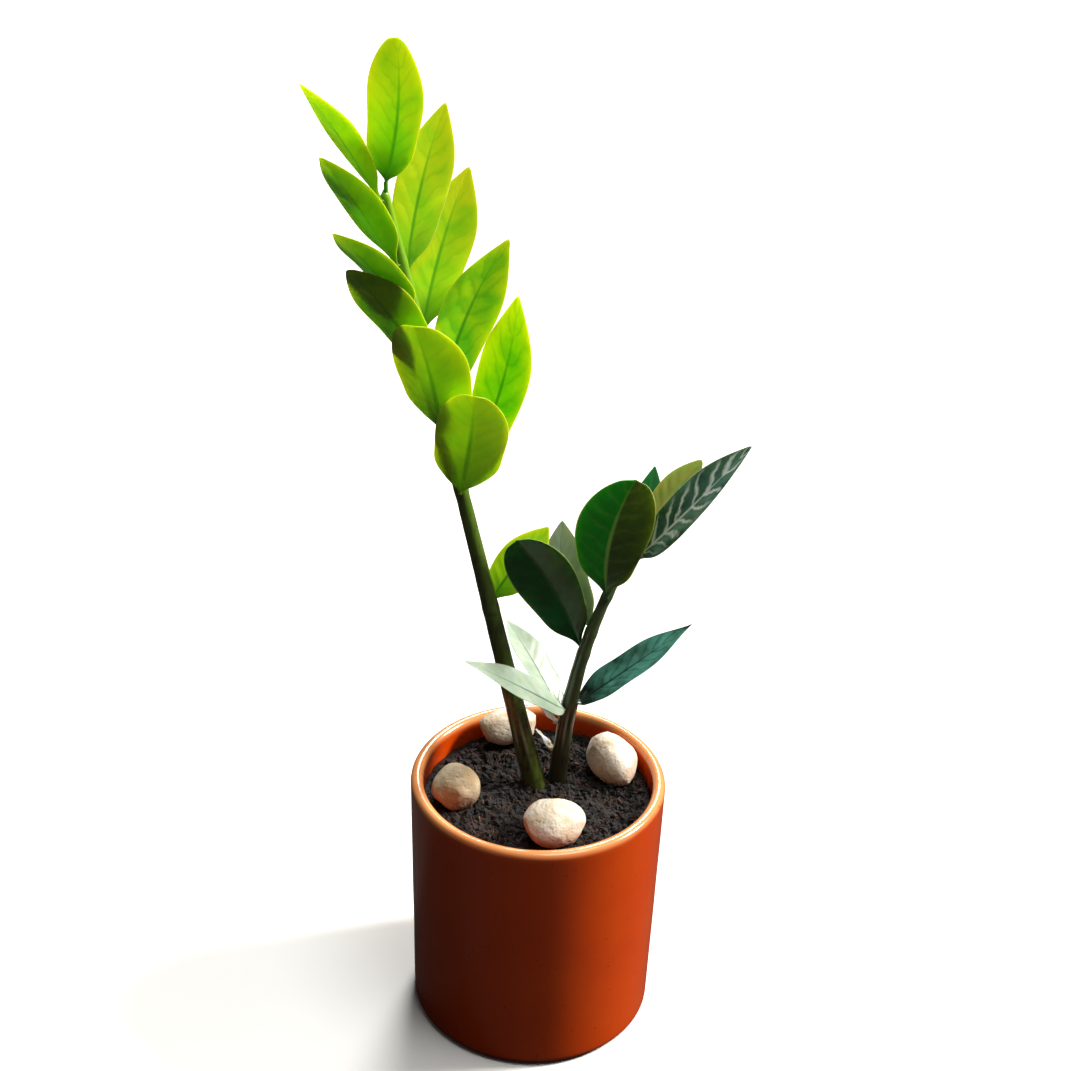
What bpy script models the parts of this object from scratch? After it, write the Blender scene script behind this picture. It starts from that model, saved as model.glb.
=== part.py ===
"""A potted ZZ plant: two fronds in a glazed clay pot, with four pebbles on the soil.

Metres, +Z up. The origin is the centre of the pot's flat underside, and -Y is the front.
The tall main frond leans to the left (-X) and the short second frond to the right.
"""

import math

import bmesh
import bpy
from mathutils import Euler, Vector, noise

MM = 0.001
GAP = 0.3 * MM  # between pieces that touch

# The pot, a nearly straight-sided tumbler turned about Z.
POT_HEIGHT = 108 * MM
RIM_RADIUS = 50 * MM
BASE_RADIUS = 48.2 * MM
WALL = 5 * MM
FLOOR = 6 * MM
FOOT_ROUND = 4 * MM
INNER_ROUND = 3 * MM
LIP_ROUND = WALL / 2
POT_SEGMENTS = 64

# The soil, a plug that stops below the rim.
SOIL_TOP = 99 * MM
SOIL_UNEVEN = 0.8 * MM
SOIL_RINGS = 7
SOIL_SEGMENTS = 40
ROOT_DEPTH = 22 * MM  # how far a stem goes into the soil

# The stems: both paths run from 0 at the soil to 1 at the tip.
MAIN_FOOT = Vector((-1.6, 7, 99)) * MM
MAIN_TIP = Vector((-59.6, 7, 344)) * MM
MAIN_BOW = 3 * MM
MAIN_RADII = (4.4 * MM, 1.4 * MM)
SECOND_PATH = ((7.6, 10, 99), (10.6, 10, 141.6), (15.5, 12.3, 168.4), (31.9, 20.1, 198.3))  # mm
SECOND_RADII = (3.6 * MM, 1.7 * MM)
STEM_SIDES = 14

# The leaflets.
LEAF_THICKNESS = 1.2 * MM
SHEATH_THICKNESS = 0.8 * MM
STALK_HALF_WIDTH = 0.65 * MM
SEAT_GAP = 1.2 * MM  # from the stem's surface to the middle of a leaflet that lies along it
STALK_SHARE = 0.07  # the part of the length that is stalk, not blade
LEAF_ROWS = 11
LEAF_COLUMNS = 4

# Blade outlines, as the two powers of share**a * (1 - share)**b along the blade.
OVAL = (0.75, 0.62)
CREST = (0.62, 0.45)
ROUND = (0.5, 0.42)
BLUNT = (0.75, 0.45)
SLIM = (0.6, 0.8)

# name, place along the stem, bearing, rise and roll (degrees), length and width (mm), fold
# between the halves (degrees), bow and sideways sweep (shares of the length), side of the
# stem (1 behind the leaflet's upper face, -1 behind its lower face, 0 its end), outline, finish
MAIN_LEAVES = [
    ("main_leaf_top", 1, 52, 82, 2, 51, 25, 12, 0.02, 0.08, 0, CREST, "leaf_young"),
    ("main_leaf_right_1", 0.86, 31, 76, 85, 63.5, 21, 8, -0.03, -0.02, 1, OVAL, "leaf_young"),
    ("main_leaf_right_2", 0.77, 43, 70, 67, 63, 22, 8, -0.03, -0.02, 1, OVAL, "leaf_young"),
    ("main_leaf_right_3", 0.65, 19, 69, 91, 69, 22, 8, -0.03, -0.05, 1, OVAL, "leaf_green"),
    ("main_leaf_right_4", 0.545, -1, 76, 62, 75, 21.5, 8, -0.03, 0.04, 1, OVAL, "leaf_green"),
    ("main_leaf_right_5", 0.325, 21, 52, 75, 37.5, 18, 12, 0.03, -0.04, 1, OVAL, "leaf_young"),
    ("main_leaf_left_1", 0.99, -141, 56, 14, 55.5, 16, 12, 0.04, 0.02, 1, OVAL, "leaf_young"),
    ("main_leaf_left_2", 0.895, -138, 55, 22, 56, 18.5, 12, 0.04, 0.02, 1, OVAL, "leaf_green"),
    ("main_leaf_left_3", 0.815, -137, 50, 17, 52.5, 21, 12, 0.04, -0.01, 1, OVAL, "leaf_green"),
    ("main_leaf_left_4", 0.73, -148, 56, 40, 54.5, 22, 12, 0.04, -0.02, 1, OVAL, "leaf_green"),
    ("main_leaf_left_5", 0.635, -124, 71, 16, 50, 29, 12, 0.04, -0.01, 1, ROUND, "leaf_young"),
    ("main_leaf_left_6", 0.53, -69, 73, -26, 49.5, 27, 12, 0.04, -0.02, 1, ROUND, "leaf_young"),
]
SECOND_LEAVES = [
    ("second_leaf_left_1", 0.27, -139, 41, -30, 70.5, 15, 12, 0.04, -0.04, 0, SLIM, "leaf_dark"),
    ("second_leaf_left_2", 0.53, -166, 62, -101, 58.5, 24, 12, -0.04, 0.03, 1, BLUNT, "leaf_dark"),
    ("second_leaf_middle", 0.815, -1, 81, 85, 52.5, 29, 14, 0.04, -0.08, -1, BLUNT, "leaf_dark"),
    ("second_leaf_back_1", 0.235, 131, 36, 12, 47.5, 16, 12, 0.04, -0.02, 0, OVAL, "leaf_dark"),
    ("second_leaf_back_2", 0.645, 118, 48, -47, 45, 20.5, 12, 0.04, -0.1, 1, OVAL, "leaf_dark"),
    ("second_leaf_back_3", 0.95, 63, 54, 41, 39.5, 12, 12, 0.04, 0.02, 0, OVAL, "leaf_dark"),
    ("second_leaf_right_1", 0.285, 18, 33, 4, 59, 16.5, 12, 0.04, 0.05, 0, SLIM, "leaf_dark"),
    ("second_leaf_tip", 1, 24, 52, 62, 44.5, 13.5, 12, 0.04, -0.04, 0, BLUNT, "leaf_olive"),
    ("second_leaf_right_2", 0.975, -14, 54, 22, 69.5, 24.5, 12, 0.06, 0.11, 1, OVAL, "leaf_dark"),
]
SHEATHS = [
    ("stem_sheath_upper", 0.19, 166, 43, 0, 15, 3, 12, 0.04, 0, 0, OVAL, "sheath"),
    ("stem_sheath_lower", 0.065, 161, 52, 0, 17, 3, 12, 0.04, 0, 0, OVAL, "sheath"),
]

# name, centre and half sizes (mm: along, across, up), bearing of the long side (degrees),
# where the unevenness is taken from, finish
PEBBLES = [
    ("pebble_back", (-12.5, 34.4, 106.6), (13.8, 7.4, 8.4), 20, 3.0, "pebble_white"),
    ("pebble_left", (-32, -6, 105.4), (10.5, 10.3, 9.6), 100, 7.0, "pebble_tan"),
    ("pebble_front", (6.5, -26, 105), (13, 11.6, 10), 8, 11.0, "pebble_white"),
    ("pebble_right", (29, 17, 105.2), (14.5, 10, 10), 122, 15.0, "pebble_white"),
]
PEBBLE_UNEVEN = 0.12

# Principled values: colour (linear), roughness.
FINISHES = {
    "pot_glaze": ((0.55, 0.075, 0.008), 0.18),
    "soil": ((0.018, 0.010, 0.007), 0.95),
    "pebble_white": ((0.78, 0.68, 0.55), 0.7),
    "pebble_tan": ((0.45, 0.32, 0.2), 0.75),
    "stem": ((0.045, 0.05, 0.018), 0.4),
    "leaf_young": ((0.28, 0.52, 0.012), 0.35),
    "leaf_green": ((0.09, 0.28, 0.012), 0.32),
    "leaf_dark": ((0.008, 0.05, 0.012), 0.22),
    "leaf_olive": ((0.16, 0.2, 0.06), 0.3),
    "sheath": ((0.6, 0.55, 0.42), 0.6),
}


def clear_scene():
    for obj in list(bpy.data.objects):
        bpy.data.objects.remove(obj)


def finish(name):
    """The Principled material of this name, made once."""
    material = bpy.data.materials.get(name)
    if material:
        return material
    colour, roughness = FINISHES[name]
    material = bpy.data.materials.new(name)
    material.use_nodes = True
    shader = material.node_tree.nodes["Principled BSDF"]
    shader.inputs["Base Color"].default_value = (*colour, 1)
    shader.inputs["Roughness"].default_value = roughness
    shader.inputs["Metallic"].default_value = 0
    return material


def add_object(name, mesh, parent, finish_name=None):
    """Puts the mesh in the scene under the parent; a piece with no finish is a cutter."""
    obj = bpy.data.objects.new(name, mesh)
    bpy.context.scene.collection.objects.link(obj)
    obj.parent = parent
    if finish_name:
        mesh.materials.append(finish(finish_name))
        mesh.shade_smooth()
        mesh.set_sharp_from_angle(angle=math.radians(50))
    else:
        obj.hide_render = True
        obj.display_type = "WIRE"
    return obj


def mesh_from(name, points, faces):
    mesh = bpy.data.meshes.new(name)
    mesh.from_pydata(points, [], faces)
    mesh.validate()
    return mesh


def arc(centre, radius, start, end, steps):
    """Points (r, z) of an arc, its angles in degrees from +r towards +z."""
    angles = [math.radians(start + (end - start) * i / steps) for i in range(steps + 1)]
    return [(centre[0] + radius * math.cos(a), centre[1] + radius * math.sin(a)) for a in angles]


def inner_radius(z):
    """The radius of the pot's inner wall at this height."""
    return BASE_RADIUS + (RIM_RADIUS - BASE_RADIUS) * z / POT_HEIGHT - WALL


def make_pot(parent):
    """Profile from the inside's centre over the lip to the underside's centre, turned."""
    lip = (inner_radius(POT_HEIGHT) + LIP_ROUND, POT_HEIGHT - LIP_ROUND)
    corner = (inner_radius(FLOOR) - INNER_ROUND, FLOOR + INNER_ROUND)
    foot = (BASE_RADIUS - FOOT_ROUND, FOOT_ROUND)
    profile = [(0, FLOOR)]
    profile += arc(corner, INNER_ROUND, -90, 0, 3)
    profile += arc(lip, LIP_ROUND, 180, 0, 8)
    profile += arc(foot, FOOT_ROUND, 0, -90, 4)
    profile += [(0, 0)]
    points = [(r, 0, z) for r, z in profile]
    edges = [(i, i + 1) for i in range(len(points) - 1)]
    mesh = bpy.data.meshes.new("pot")
    mesh.from_pydata(points, edges, [])
    pot = add_object("pot", mesh, parent, "pot_glaze")
    turn = pot.modifiers.new("Turn", "SCREW")
    turn.steps = POT_SEGMENTS
    turn.render_steps = POT_SEGMENTS
    turn.use_merge_vertices = True
    turn.merge_threshold = 0.01 * MM
    turn.use_smooth_shade = True
    return pot


def soil_height(x, y):
    lumps = noise.noise(Vector((x, y, 0)) / (13 * MM))
    return SOIL_TOP + SOIL_UNEVEN * lumps


def ring_of(radius, z, segments):
    angles = [2 * math.pi * i / segments for i in range(segments)]
    return [(radius * math.cos(a), radius * math.sin(a), z) for a in angles]


def bridge(first, second, segments):
    """Quads between two rings of this many points, each ring given by its first index."""
    pairs = [(i, (i + 1) % segments) for i in range(segments)]
    return [(first + i, first + j, second + j, second + i) for i, j in pairs]


def make_soil(parent):
    """A plug inside the wall: rings up its side, then rings inwards over its uneven top."""
    low = FLOOR + GAP
    wall = SOIL_TOP - SOIL_UNEVEN
    sides = [
        (inner_radius(low) - INNER_ROUND, low),
        (inner_radius(low + INNER_ROUND) - GAP, low + INNER_ROUND),
        (inner_radius(wall) - GAP, wall),
    ]
    points = [p for r, z in sides for p in ring_of(r, z, SOIL_SEGMENTS)]
    top_radius = sides[-1][0]
    for ring in range(1, SOIL_RINGS):
        radius = top_radius * (1 - ring / SOIL_RINGS)
        points += [(x, y, soil_height(x, y)) for x, y, _ in ring_of(radius, 0, SOIL_SEGMENTS)]
    starts = range(0, len(points), SOIL_SEGMENTS)
    faces = [tuple(reversed(range(SOIL_SEGMENTS)))]
    for first, second in zip(starts, starts[1:]):
        faces += bridge(first, second, SOIL_SEGMENTS)
    centre = len(points)
    points.append((0, 0, soil_height(0, 0)))
    last = starts[-1]
    faces += [(last + i, last + (i + 1) % SOIL_SEGMENTS, centre) for i in range(SOIL_SEGMENTS)]
    return add_object("soil", mesh_from("soil", points, faces), parent, "soil")


def main_centre(t):
    """The main stem's centre line: a lean with a slight bow, upright below the soil."""
    if t < 0:
        return MAIN_FOOT + Vector((0, 0, t * (MAIN_TIP.z - MAIN_FOOT.z)))
    bow = Vector((0, MAIN_BOW * math.sin(math.pi * t), 0))
    return MAIN_FOOT.lerp(MAIN_TIP, t) + bow


def second_centre(t):
    """The second stem's centre line: a cubic Bezier curve, upright below the soil."""
    points = [Vector(p) * MM for p in SECOND_PATH]
    if t < 0:
        return points[0] + Vector((0, 0, t * (points[3].z - points[0].z)))
    shares = ((1 - t) ** 3, 3 * t * (1 - t) ** 2, 3 * t * t * (1 - t), t**3)
    return sum((p * s for p, s in zip(points, shares)), Vector())


def main_radius(t):
    return MAIN_RADII[0] - (MAIN_RADII[0] - MAIN_RADII[1]) * max(t, 0) ** 0.8


def second_radius(t):
    return SECOND_RADII[0] - (SECOND_RADII[0] - SECOND_RADII[1]) * max(t, 0)


def direction(centre, t):
    step = 0.01
    return (centre(t + step) - centre(t - step)).normalized()


def stem_mesh(name, centre, radius, places, grow=0):
    """Rings square to the path at each place, with flat ends; grow makes a cutter's clearance."""
    points = []
    for t in places:
        along = direction(centre, t)
        side = along.cross(Vector((0, 1, 0))).normalized()
        other = along.cross(side)
        r = radius(t) + grow
        for i in range(STEM_SIDES):
            a = 2 * math.pi * i / STEM_SIDES
            points.append(centre(t) + side * (r * math.cos(a)) + other * (r * math.sin(a)))
    faces = []
    for ring in range(len(places) - 1):
        faces += bridge(ring * STEM_SIDES, (ring + 1) * STEM_SIDES, STEM_SIDES)
    faces.append(tuple(reversed(range(STEM_SIDES))))
    faces.append(tuple(range(len(points) - STEM_SIDES, len(points))))
    mesh = mesh_from(name, points, faces)
    return face_outwards(mesh)


def face_outwards(mesh):
    shape = bmesh.new()
    shape.from_mesh(mesh)
    bmesh.ops.recalc_face_normals(shape, faces=shape.faces)
    shape.to_mesh(mesh)
    shape.free()
    return mesh


def cut(target, name, mesh, parent):
    """Takes the shape out of the target."""
    cutter = add_object(name, mesh, parent)
    taken = target.modifiers.new(name, "BOOLEAN")
    taken.operation = "DIFFERENCE"
    taken.object = cutter
    return cutter


def make_stem(name, centre, radius, rings, soil, parent):
    rise = centre(1).z - centre(0).z
    foot = -ROOT_DEPTH / rise
    places = [foot, 0] + [i / rings for i in range(1, rings + 1)]
    add_object(name, stem_mesh(name, centre, radius, places), parent, "stem")
    hole = stem_mesh(name + "_hole", centre, radius, [foot - GAP / rise, 0, 0.1], GAP)
    cut(soil, name + "_hole", hole, parent)


def pebble_mesh(name, half_sizes, offset, grow=0):
    """An icosphere pushed in and out by smooth noise, then given the pebble's half sizes."""
    shape = bmesh.new()
    bmesh.ops.create_icosphere(shape, subdivisions=3, radius=1)
    for vertex in shape.verts:
        lumps = noise.noise(vertex.co * 1.1 + Vector((offset, 0, 0)))
        reach = 1 + PEBBLE_UNEVEN * (lumps - 0.3)
        vertex.co = Vector([c * reach * (s * MM + grow) for c, s in zip(vertex.co, half_sizes)])
    mesh = bpy.data.meshes.new(name)
    shape.to_mesh(mesh)
    shape.free()
    return mesh


def make_pebble(row, soil, parent):
    name, centre, half_sizes, bearing, offset, finish_name = row
    pebble = add_object(name, pebble_mesh(name, half_sizes, offset), parent, finish_name)
    dent = cut(soil, name + "_dent", pebble_mesh(name + "_dent", half_sizes, offset, GAP), parent)
    for obj in (pebble, dent):
        obj.location = Vector(centre) * MM
        obj.rotation_euler = (0, 0, math.radians(bearing))


def outline_width(share, powers):
    """Half width of the blade, as a share of its largest."""
    a, b = powers
    widest = a / (a + b)
    reach = max(share - STALK_SHARE, 0) / (1 - STALK_SHARE)
    return (reach / widest) ** a * ((1 - reach) / (1 - widest)) ** b


def leaf_sheet(name, start, length, width, fold, bow, sweep, powers):
    """The leaflet as a sheet in its own frame: X to the tip, Z out of its upper face."""
    points = []
    for row in range(LEAF_ROWS):
        share = start + (1 - start) * (1 - math.cos(math.pi * row / (LEAF_ROWS - 1))) / 2
        half = max(width / 2 * outline_width(share, powers), STALK_HALF_WIDTH)
        arch = 4 * share * (1 - share) * length
        for column in range(LEAF_COLUMNS + 1):
            across = 2 * column / LEAF_COLUMNS - 1
            rise = half * math.sin(fold) * (math.sqrt(across**2 + 0.02) - math.sqrt(0.02))
            aside = half * math.cos(fold) * across - sweep * arch
            points.append((share * length, aside, bow * arch + rise))
    wide = LEAF_COLUMNS + 1
    faces = []
    for row in range(LEAF_ROWS - 1):
        for column in range(LEAF_COLUMNS):
            i = row * wide + column
            faces.append((i, i + wide, i + wide + 1, i + 1))
    return mesh_from(name, points, faces)


def stalk_start(origin, turn, centre, radius, t, clearance, length, bow, sweep):
    """The share of the leaflet's length at which its stalk's end is clear of the stem."""
    stem = [min(t + step / 100, 1) for step in range(-10, 25)]
    share = 0
    while True:
        share += 0.005
        arch = 4 * share * (1 - share) * length
        point = origin + turn @ Vector((share * length, -sweep * arch, bow * arch))
        if all((point - centre(s)).length > radius(s) + clearance for s in stem):
            return share


def make_leaf(row, centre, radius, thickness, parent):
    """A sheet set on the stem and thickened; a leaflet beside the stem lies along its surface."""
    name, t, bearing, rise, roll, length, width, fold, bow, sweep, side, powers, finish_name = row
    angles = Euler([math.radians(a) for a in (roll, -rise, bearing)])
    turn = angles.to_matrix()
    length *= MM
    clearance = GAP + math.hypot(STALK_HALF_WIDTH, thickness / 2)
    origin = centre(t) - turn.col[2] * (side * (radius(t) + SEAT_GAP))
    start = stalk_start(origin, turn, centre, radius, t, clearance, length, bow, sweep)
    sheet = leaf_sheet(name, start, length, width * MM, math.radians(fold), bow, sweep, powers)
    leaf = add_object(name, sheet, parent, finish_name)
    leaf.location = origin
    leaf.rotation_euler = angles
    skin = leaf.modifiers.new("Thickness", "SOLIDIFY")
    skin.thickness = thickness
    skin.offset = 0


def build():
    clear_scene()
    plant = bpy.data.objects.new("zz_plant", None)
    bpy.context.scene.collection.objects.link(plant)
    make_pot(plant)
    soil = make_soil(plant)
    make_stem("main_stem", main_centre, main_radius, 12, soil, plant)
    make_stem("second_stem", second_centre, second_radius, 10, soil, plant)
    for row in PEBBLES:
        make_pebble(row, soil, plant)
    for row in MAIN_LEAVES:
        make_leaf(row, main_centre, main_radius, LEAF_THICKNESS, plant)
    for row in SECOND_LEAVES:
        make_leaf(row, second_centre, second_radius, LEAF_THICKNESS, plant)
    for row in SHEATHS:
        make_leaf(row, second_centre, second_radius, SHEATH_THICKNESS, plant)


build()
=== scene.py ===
# %% [markdown]
# # A potted ZZ plant
#
# The plant stands in a glazed clay pot: a tall young frond, a short dark one, soil and four
# pebbles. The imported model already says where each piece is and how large. Each cell below
# measures one piece of it, makes the fine surface that the eye expects there, and puts that
# surface in the same place. All lengths are in metres.

# %% Load the frame
import math

import bmesh
import bpy
import numpy as np
from mathutils import Matrix, Vector, noise
from mathutils.bvhtree import BVHTree


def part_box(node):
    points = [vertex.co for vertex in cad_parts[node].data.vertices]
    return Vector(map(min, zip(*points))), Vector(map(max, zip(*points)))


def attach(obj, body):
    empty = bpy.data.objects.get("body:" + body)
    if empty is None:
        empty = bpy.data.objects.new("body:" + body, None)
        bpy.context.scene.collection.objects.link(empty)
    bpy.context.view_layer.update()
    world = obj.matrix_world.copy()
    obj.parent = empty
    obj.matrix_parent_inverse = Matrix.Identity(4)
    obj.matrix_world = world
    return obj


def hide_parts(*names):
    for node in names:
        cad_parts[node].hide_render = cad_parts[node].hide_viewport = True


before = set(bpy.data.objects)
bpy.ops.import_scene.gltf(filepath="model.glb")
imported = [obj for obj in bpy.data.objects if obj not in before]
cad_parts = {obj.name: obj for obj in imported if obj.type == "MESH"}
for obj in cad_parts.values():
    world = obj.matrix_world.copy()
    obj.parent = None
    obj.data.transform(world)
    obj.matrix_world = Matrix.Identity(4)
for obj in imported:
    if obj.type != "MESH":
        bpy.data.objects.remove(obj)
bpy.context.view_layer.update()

MM = 0.001

# %% [markdown]
# ## Helpers
#
# Colours are picked as sRGB hex values, because that is how a paint card or a screen gives
# them, and shaders want linear light, so one function converts. One more adds a node to any
# tree, with its settings and with a value or a feeding socket for each input. The last lays
# paints over a ground colour in turn, each where its own mask lets it cover.

# %% Colours and nodes
def tint(code):
    """An sRGB hex colour as linear red, green, blue and alpha."""
    channels = [int(code[i : i + 2], 16) / 255 for i in (1, 3, 5)]
    linear = [c / 12.92 if c <= 0.04045 else ((c + 0.055) / 1.055) ** 2.4 for c in channels]
    return (*linear, 1)


def add(tree, kind, inputs=None, **settings):
    """A new node. inputs holds, by name or number, a value or the socket that feeds it."""
    node = tree.nodes.new(kind)
    for name, value in settings.items():
        setattr(node, name, value)
    for key, value in (inputs or {}).items():
        if isinstance(value, bpy.types.NodeSocket):
            tree.links.new(value, node.inputs[key])
        else:
            node.inputs[key].default_value = value
    return node


def new_material(name, **values):
    """A Principled material; values are set on the shader's own sockets."""
    material = bpy.data.materials.new(name)
    material.use_nodes = True
    shader = material.node_tree.nodes["Principled BSDF"]
    for key, value in values.items():
        shader.inputs[key.replace("_", " ")].default_value = value
    return material, material.node_tree, shader


def layered(tree, ground, layers):
    """The ground colour with (share, paint) layers over it; a share of 1 covers what is below."""
    colour = tint(ground)
    for share, paint in layers:
        mix = add(tree, "ShaderNodeMix", {0: share, 6: colour, 7: tint(paint)}, data_type="RGBA")
        colour = mix.outputs[2]
    return colour


# %% [markdown]
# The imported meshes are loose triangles. Merging equal points gives each corner once, which is
# all that measuring needs. New surfaces are built as rings of points joined by quads: it is
# how a potter's profile, a stem and a leaf blade can all be described.

# %% Meshes
def merged_points(node):
    """The node's corner points, each once, as rows of x, y, z."""
    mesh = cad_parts[node].data
    flat = np.empty(len(mesh.vertices) * 3)
    mesh.vertices.foreach_get("co", flat)
    return np.unique(np.round(flat.reshape(-1, 3), 6), axis=0)


def smooth(values, places):
    """Rows of values read between whole places on a Catmull-Rom spline."""
    padded = np.concatenate([[2 * values[0] - values[1]], values, [2 * values[-1] - values[-2]]])
    i = np.clip(np.floor(places).astype(int), 0, len(values) - 2)
    t = (places - i).reshape(-1, *[1] * (values.ndim - 1))
    a, b, c, d = padded[i], padded[i + 1], padded[i + 2], padded[i + 3]
    curve = (2 * a - 5 * b + 4 * c - d) * t**2 + (3 * b - a - 3 * c + d) * t**3
    return (2 * b + (c - a) * t + curve) / 2


def rings_to_faces(rings, sides):
    """Quads between closed rings, and a fan to one extra point at each end."""
    first, last = rings * sides, rings * sides + 1
    faces = []
    for ring in range(rings - 1):
        for i in range(sides):
            j = (i + 1) % sides
            low, high = ring * sides, (ring + 1) * sides
            faces.append((low + i, low + j, high + j, high + i))
    for i in range(sides):
        j = (i + 1) % sides
        faces.append((first, j, i))
        faces.append((last, (rings - 1) * sides + i, (rings - 1) * sides + j))
    return faces


def new_piece(name, points, faces, material, attributes=None):
    """A smooth mesh object whose faces point out, with a value per point for each attribute."""
    mesh = bpy.data.meshes.new(name)
    mesh.from_pydata([tuple(p) for p in points], [], faces)
    for key, values in (attributes or {}).items():
        layer = mesh.attributes.new(key, "FLOAT", "POINT")
        layer.data.foreach_set("value", np.asarray(values, np.float32))
    shape = bmesh.new()
    shape.from_mesh(mesh)
    bmesh.ops.recalc_face_normals(shape, faces=shape.faces)
    shape.to_mesh(mesh)
    shape.free()
    mesh.shade_smooth()
    mesh.materials.append(material)
    piece = bpy.data.objects.new(name, mesh)
    bpy.context.scene.collection.objects.link(piece)
    return piece


def stands_for(piece, *nodes):
    """The piece stands in for these CAD nodes, which are hidden; it hangs from the root body."""
    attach(piece, "root")
    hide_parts(*nodes)


def lumps(point, size, seed=0.0):
    """Smooth noise from about -1 to 1, with bumps of this size."""
    return noise.noise(Vector(point) / size + Vector((seed, seed * 0.7, -seed)))


# %% [markdown]
# ## Camera and light
#
# The plant is seen from the front and about 30 degrees above, through a fairly long lens, so
# the pot shows its opening and hardly narrows. The camera tips two degrees to one side, as a
# hand-held one does. A strong soft light from the right and a little behind leaves the pot's
# left side in shade; another behind shines through the young leaves, so that they glow, and
# a weak one high in front lifts the leaf faces and the soil, but hardly touches the pot's wall.
# All are distant lamps with a wide disc, so the floor is evenly lit and shadows stay soft.
# The studio's walls are bright to look at but give little light, or the shade would go.

# %% Camera, floor and lamps
PITCH = math.radians(29.8)
ROLL = math.radians(2.03)
SENSOR_WIDTH, FOCAL_LENGTH = 36, 67.2
CAMERA_PLACE = (-0.00443, -0.6336, 0.5789)
forward = Vector((0, math.cos(PITCH), -math.sin(PITCH)))
level = Vector((1, 0, 0))
upward = level.cross(forward)
right = level * math.cos(ROLL) + upward * math.sin(ROLL)
above = upward * math.cos(ROLL) - level * math.sin(ROLL)

lens = bpy.data.cameras.new("camera")
lens.sensor_width = SENSOR_WIDTH
lens.lens = FOCAL_LENGTH
camera = bpy.data.objects.new("camera", lens)
turn = Matrix((right, above, -forward)).transposed().to_4x4()
camera.matrix_world = Matrix.Translation(CAMERA_PLACE) @ turn
bpy.context.scene.collection.objects.link(camera)
bpy.context.scene.camera = camera
bpy.context.scene.view_settings.view_transform = "Standard"

# Matt painted board: pale, with no shine. Seen directly it is nearly white, and it throws
# back very little light, as if dark cards stood round the pot, so that shade stays deep.
board, tree, shader = new_material("matt painted board", Roughness=0.95, Specular_IOR_Level=0.1)
place = add(tree, "ShaderNodeTexCoord").outputs["Object"]
grain = add(tree, "ShaderNodeTexNoise", {"Vector": place, "Scale": 3.0, "Detail": 2.0}).outputs[0]
pale = layered(tree, "#EFEFED", [(grain, "#F4F4F2")])
direct = add(tree, "ShaderNodeLightPath").outputs["Is Camera Ray"]
shown = add(tree, "ShaderNodeMix", {0: direct, 6: tint("#2E2C2A"), 7: pale}, data_type="RGBA").outputs[2]
tree.links.new(shown, shader.inputs["Base Color"])
floor_mesh = bpy.data.meshes.new("floor")
FLOOR_REACH = 40.0
floor_corners = [(x * FLOOR_REACH, y * FLOOR_REACH, 0) for x, y in ((-1, -1), (1, -1), (1, 1), (-1, 1))]
floor_mesh.from_pydata(floor_corners, [], [(0, 1, 2, 3)])
floor_mesh.materials.append(board)
floor = bpy.data.objects.new("floor", floor_mesh)
bpy.context.scene.collection.objects.link(floor)

world = bpy.data.worlds.new("studio")
world.use_nodes = True
walls = world.node_tree
seen = add(walls, "ShaderNodeLightPath").outputs["Is Camera Ray"]
FILL_LIGHT, WALL_BRIGHTNESS = 0.05, 0.92
strength = add(walls, "ShaderNodeMapRange", {0: seen, 3: FILL_LIGHT, 4: WALL_BRIGHTNESS})
background = walls.nodes["Background"]
background.inputs["Color"].default_value = tint("#F7F7F5")
walls.links.new(strength.outputs[0], background.inputs["Strength"])
bpy.context.scene.world = world


def add_lamp(name, bearing, height, disc, power, colour):
    """A distant lamp: its bearing from +X and height above the floor, and its disc, in degrees."""
    light = bpy.data.lights.new(name, "SUN")
    light.angle = math.radians(disc)
    light.energy = power
    light.color = tint(colour)[:3]
    lamp = bpy.data.objects.new(name, light)
    around, up = math.radians(bearing), math.radians(height)
    away = Vector((math.cos(up) * math.cos(around), math.cos(up) * math.sin(around), math.sin(up)))
    lamp.location = away
    lamp.rotation_euler = away.to_track_quat("Z", "Y").to_euler()
    bpy.context.scene.collection.objects.link(lamp)


add_lamp("key light", bearing=10, height=38, disc=12, power=5.4, colour="#FFFAF2")
add_lamp("rim light", bearing=80, height=44, disc=20, power=3.0, colour="#FFFEFA")
add_lamp("top light", bearing=-30, height=72, disc=30, power=1.5, colour="#FFFEFA")
print("camera, floor and three lamps")

# %% [markdown]
# ## The pot
#
# A real pot like this is slip-cast or thrown, dipped in an orange glaze and fired. Its shape
# is a profile turned about an axis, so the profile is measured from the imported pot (rim,
# wall, foot and floor) and turned again with many more steps and rounder arcs. Fired clay is
# never perfectly true: the wall wanders by a tenth of a millimetre, which is enough to bend a
# long highlight.

# %% Measure the pot
pot_points = merged_points("pot")
pot_r = np.hypot(pot_points[:, 0], pot_points[:, 1])
pot_z = pot_points[:, 2]
POT_HEIGHT = pot_z.max()
RIM_RADIUS = pot_r.max()
WALL = RIM_RADIUS - pot_r[pot_z > POT_HEIGHT - 3 * MM].min()
FOOT_HEIGHT = 5 * MM  # the rounded foot ends below this height
BASE_RADIUS = pot_r[pot_z < FOOT_HEIGHT].max()
POT_FLOOR = pot_z[(pot_r < BASE_RADIUS - WALL) & (pot_z > FOOT_HEIGHT)].min()
print(f"pot {POT_HEIGHT / MM:.1f} high, rim {RIM_RADIUS / MM:.1f}, wall {WALL / MM:.1f} mm")


# %% Turn the pot
def arc(r, z, radius, start, end, steps):
    """Points (r, z) of an arc, its angles in degrees from outwards towards up."""
    angles = [math.radians(start + (end - start) * i / steps) for i in range(steps + 1)]
    return [(r + radius * math.cos(a), z + radius * math.sin(a)) for a in angles]


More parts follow.
